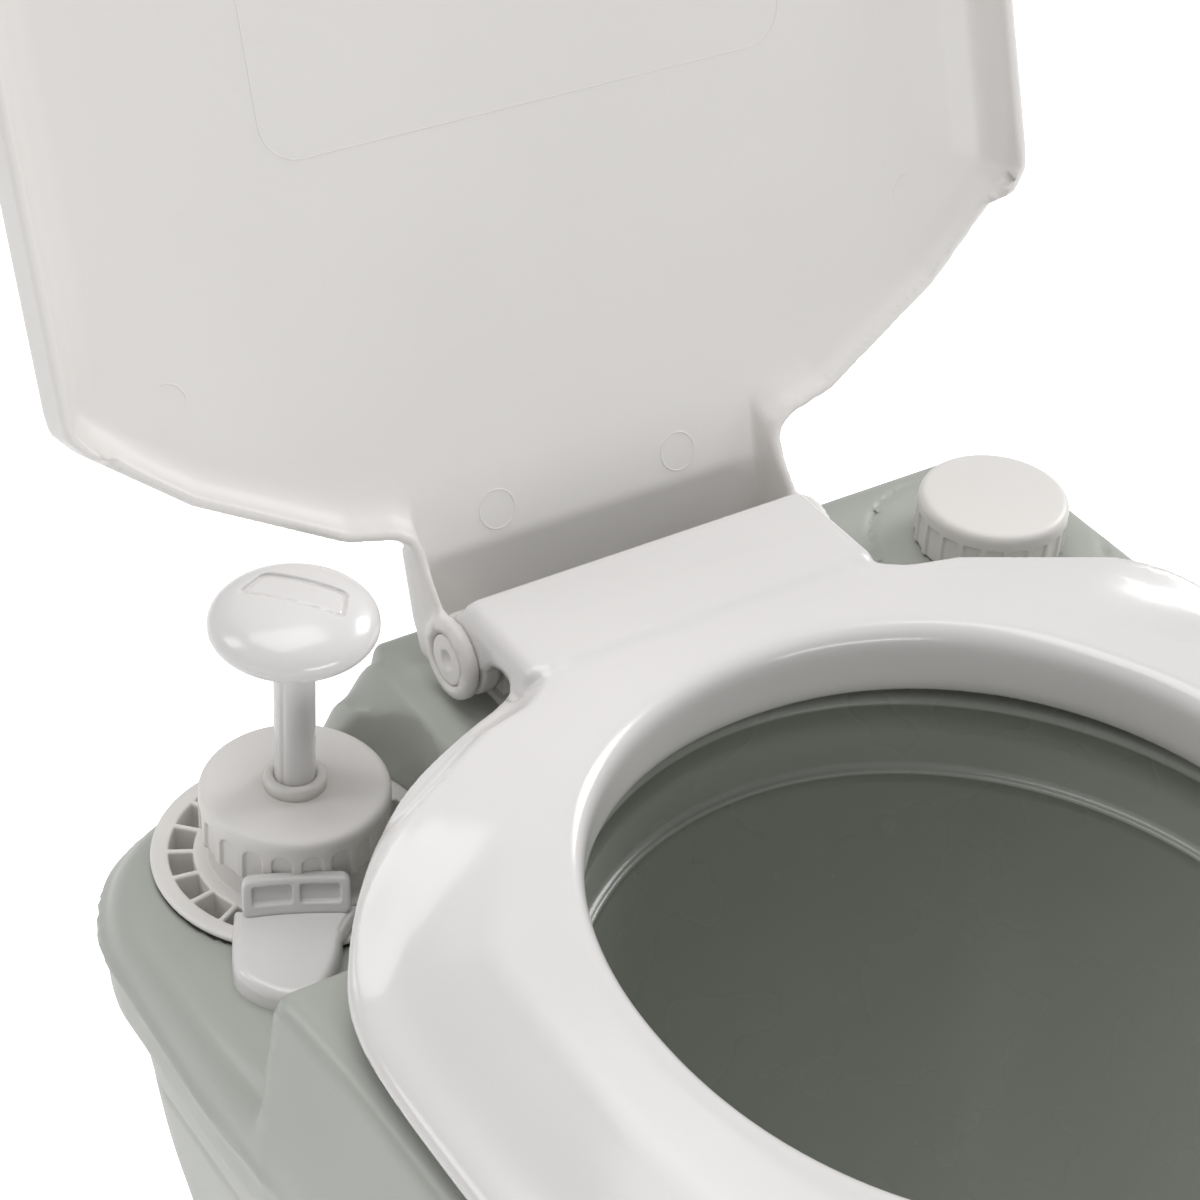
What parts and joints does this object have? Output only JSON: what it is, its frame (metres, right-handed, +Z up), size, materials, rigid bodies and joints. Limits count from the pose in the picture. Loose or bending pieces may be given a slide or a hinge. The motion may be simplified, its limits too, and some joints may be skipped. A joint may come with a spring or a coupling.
{
  "type": "cassette toilet",
  "caption": "Portable cassette toilet with a hinged lid and seat, piston flush pump, screw filler cap and a lift-off flush tank over a sealed waste tank.",
  "frame": {"origin": "middle of the base on the floor", "axes": "+X to the user's left as they sit (right in the front view), -Y towards the front, +Z up"},
  "size_m": [0.368, 0.5142, 0.7289],
  "materials": {
    "tank_plastic": "blow-moulded polyethylene, satin grey-green",
    "gloss_white": "injection-moulded, glossy off-white",
    "satin_white": "injection-moulded, satin warm white",
    "seal_rubber": "soft black rubber",
    "steel": "bright zinc-plated steel"
  },
  "bodies": {
    "waste_unit": {"waste_tank": "tank_plastic", "valve_frame": "satin_white", "valve_seal": "seal_rubber", "valve_screws": "steel", "spout_collar": "gloss_white", "spout_seal": "seal_rubber", "vent_cup": "gloss_white", "vent_spring": "steel", "latch_pins": "steel"},
    "valve_slide": {"valve_blade": "satin_white", "valve_handle": "gloss_white"},
    "pour_spout": {"pour_spout": "satin_white"},
    "spout_cap": {"spout_cap": "gloss_white", "spout_cap_seal": "seal_rubber"},
    "vent_button": {"vent_button": "tank_plastic"},
    "latch_left": {"latch_left": "gloss_white"},
    "latch_right": {"latch_right": "gloss_white"},
    "upper_unit": {"upper_tank": "tank_plastic", "bowl": "tank_plastic", "hinge_bracket": "satin_white", "bracket_screws": "steel", "hinge_pin_left": "satin_white", "hinge_pin_right": "satin_white", "pump_flange": "satin_white", "pump_gasket": "seal_rubber", "pump_barrel": "satin_white", "foot_valve": "satin_white", "strainer": "satin_white", "flush_channel_cover": "gloss_white", "cover_clip": "gloss_white", "flush_pipe": "satin_white", "flush_nozzle": "gloss_white", "fill_neck": "tank_plastic"},
    "seat": {"seat": "gloss_white", "seat_bumpers": "seal_rubber"},
    "lid": {"lid": "gloss_white"},
    "pump_handle": {"pump_rod": "gloss_white", "pump_knob": "gloss_white", "pump_piston": "satin_white", "piston_seal": "seal_rubber"},
    "pump_nut": {"pump_nut": "satin_white", "pump_bush": "satin_white"},
    "fill_cap": {"fill_cap": "satin_white", "fill_cap_seal": "seal_rubber"},
    "valve_ball": {"valve_ball": "steel"}
  },
  "joints": [
    {"name": "upper_lift", "type": "slide", "parent": "waste_unit", "child": "upper_unit", "axis": [0, 0, 1], "range_m": [0, 0.11]},
    {"name": "latch_left_swing", "type": "hinge", "parent": "waste_unit", "child": "latch_left", "pos_m": [-0.1607, 0, 0.132], "axis": [0, -1, 0], "range_deg": [0, 90]},
    {"name": "latch_right_swing", "type": "hinge", "parent": "waste_unit", "child": "latch_right", "pos_m": [0.1607, 0, 0.132], "axis": [0, 1, 0], "range_deg": [0, 90]},
    {"name": "valve_pull", "type": "slide", "parent": "waste_unit", "child": "valve_slide", "axis": [0, -1, 0], "range_m": [0, 0.1]},
    {"name": "spout_swing", "type": "hinge", "parent": "waste_unit", "child": "pour_spout", "pos_m": [-0.104, 0.16, 0.132], "axis": [0, 0, 1], "range_deg": [0, 90]},
    {"name": "spout_cap_turn", "type": "hinge", "parent": "pour_spout", "child": "spout_cap", "pos_m": [-0.012, 0.16, 0.132], "axis": [1, 0, 0], "range_deg": [0, 180]},
    {"name": "vent_press", "type": "slide", "parent": "waste_unit", "child": "vent_button", "axis": [0, 0, -1], "range_m": [0, 0.004], "stiffness_N_per_m": 300, "deforming": ["vent_spring"]},
    {"name": "seat_hinge", "type": "hinge", "parent": "upper_unit", "child": "seat", "pos_m": [0, 0.162, 0.39], "axis": [-1, 0, 0], "range_deg": [0, 100]},
    {"name": "lid_hinge", "type": "hinge", "parent": "upper_unit", "child": "lid", "pos_m": [0, 0.162, 0.39], "axis": [-1, 0, 0], "range_deg": [-110, 0]},
    {"name": "pump_stroke", "type": "slide", "parent": "upper_unit", "child": "pump_handle", "axis": [0, 0, 1], "range_m": [-0.044, 0]},
    {"name": "pump_nut_turn", "type": "hinge", "parent": "upper_unit", "child": "pump_nut", "pos_m": [-0.123, 0.159, 0.358], "axis": [0, 0, 1], "range_deg": [0, 90]},
    {"name": "fill_cap_turn", "type": "hinge", "parent": "upper_unit", "child": "fill_cap", "pos_m": [0.1325, 0.148, 0.384], "axis": [0, 0, 1], "range_deg": [0, 180]},
    {"name": "foot_valve_lift", "type": "slide", "parent": "upper_unit", "child": "valve_ball", "axis": [0, 0, 1], "range_m": [0, 0.003]}
  ],
  "couplings": [
    {"joint": "latch_left_swing", "follows": "upper_lift", "rad_per_m": 14},
    {"joint": "latch_right_swing", "follows": "upper_lift", "rad_per_m": 14}
  ]
}
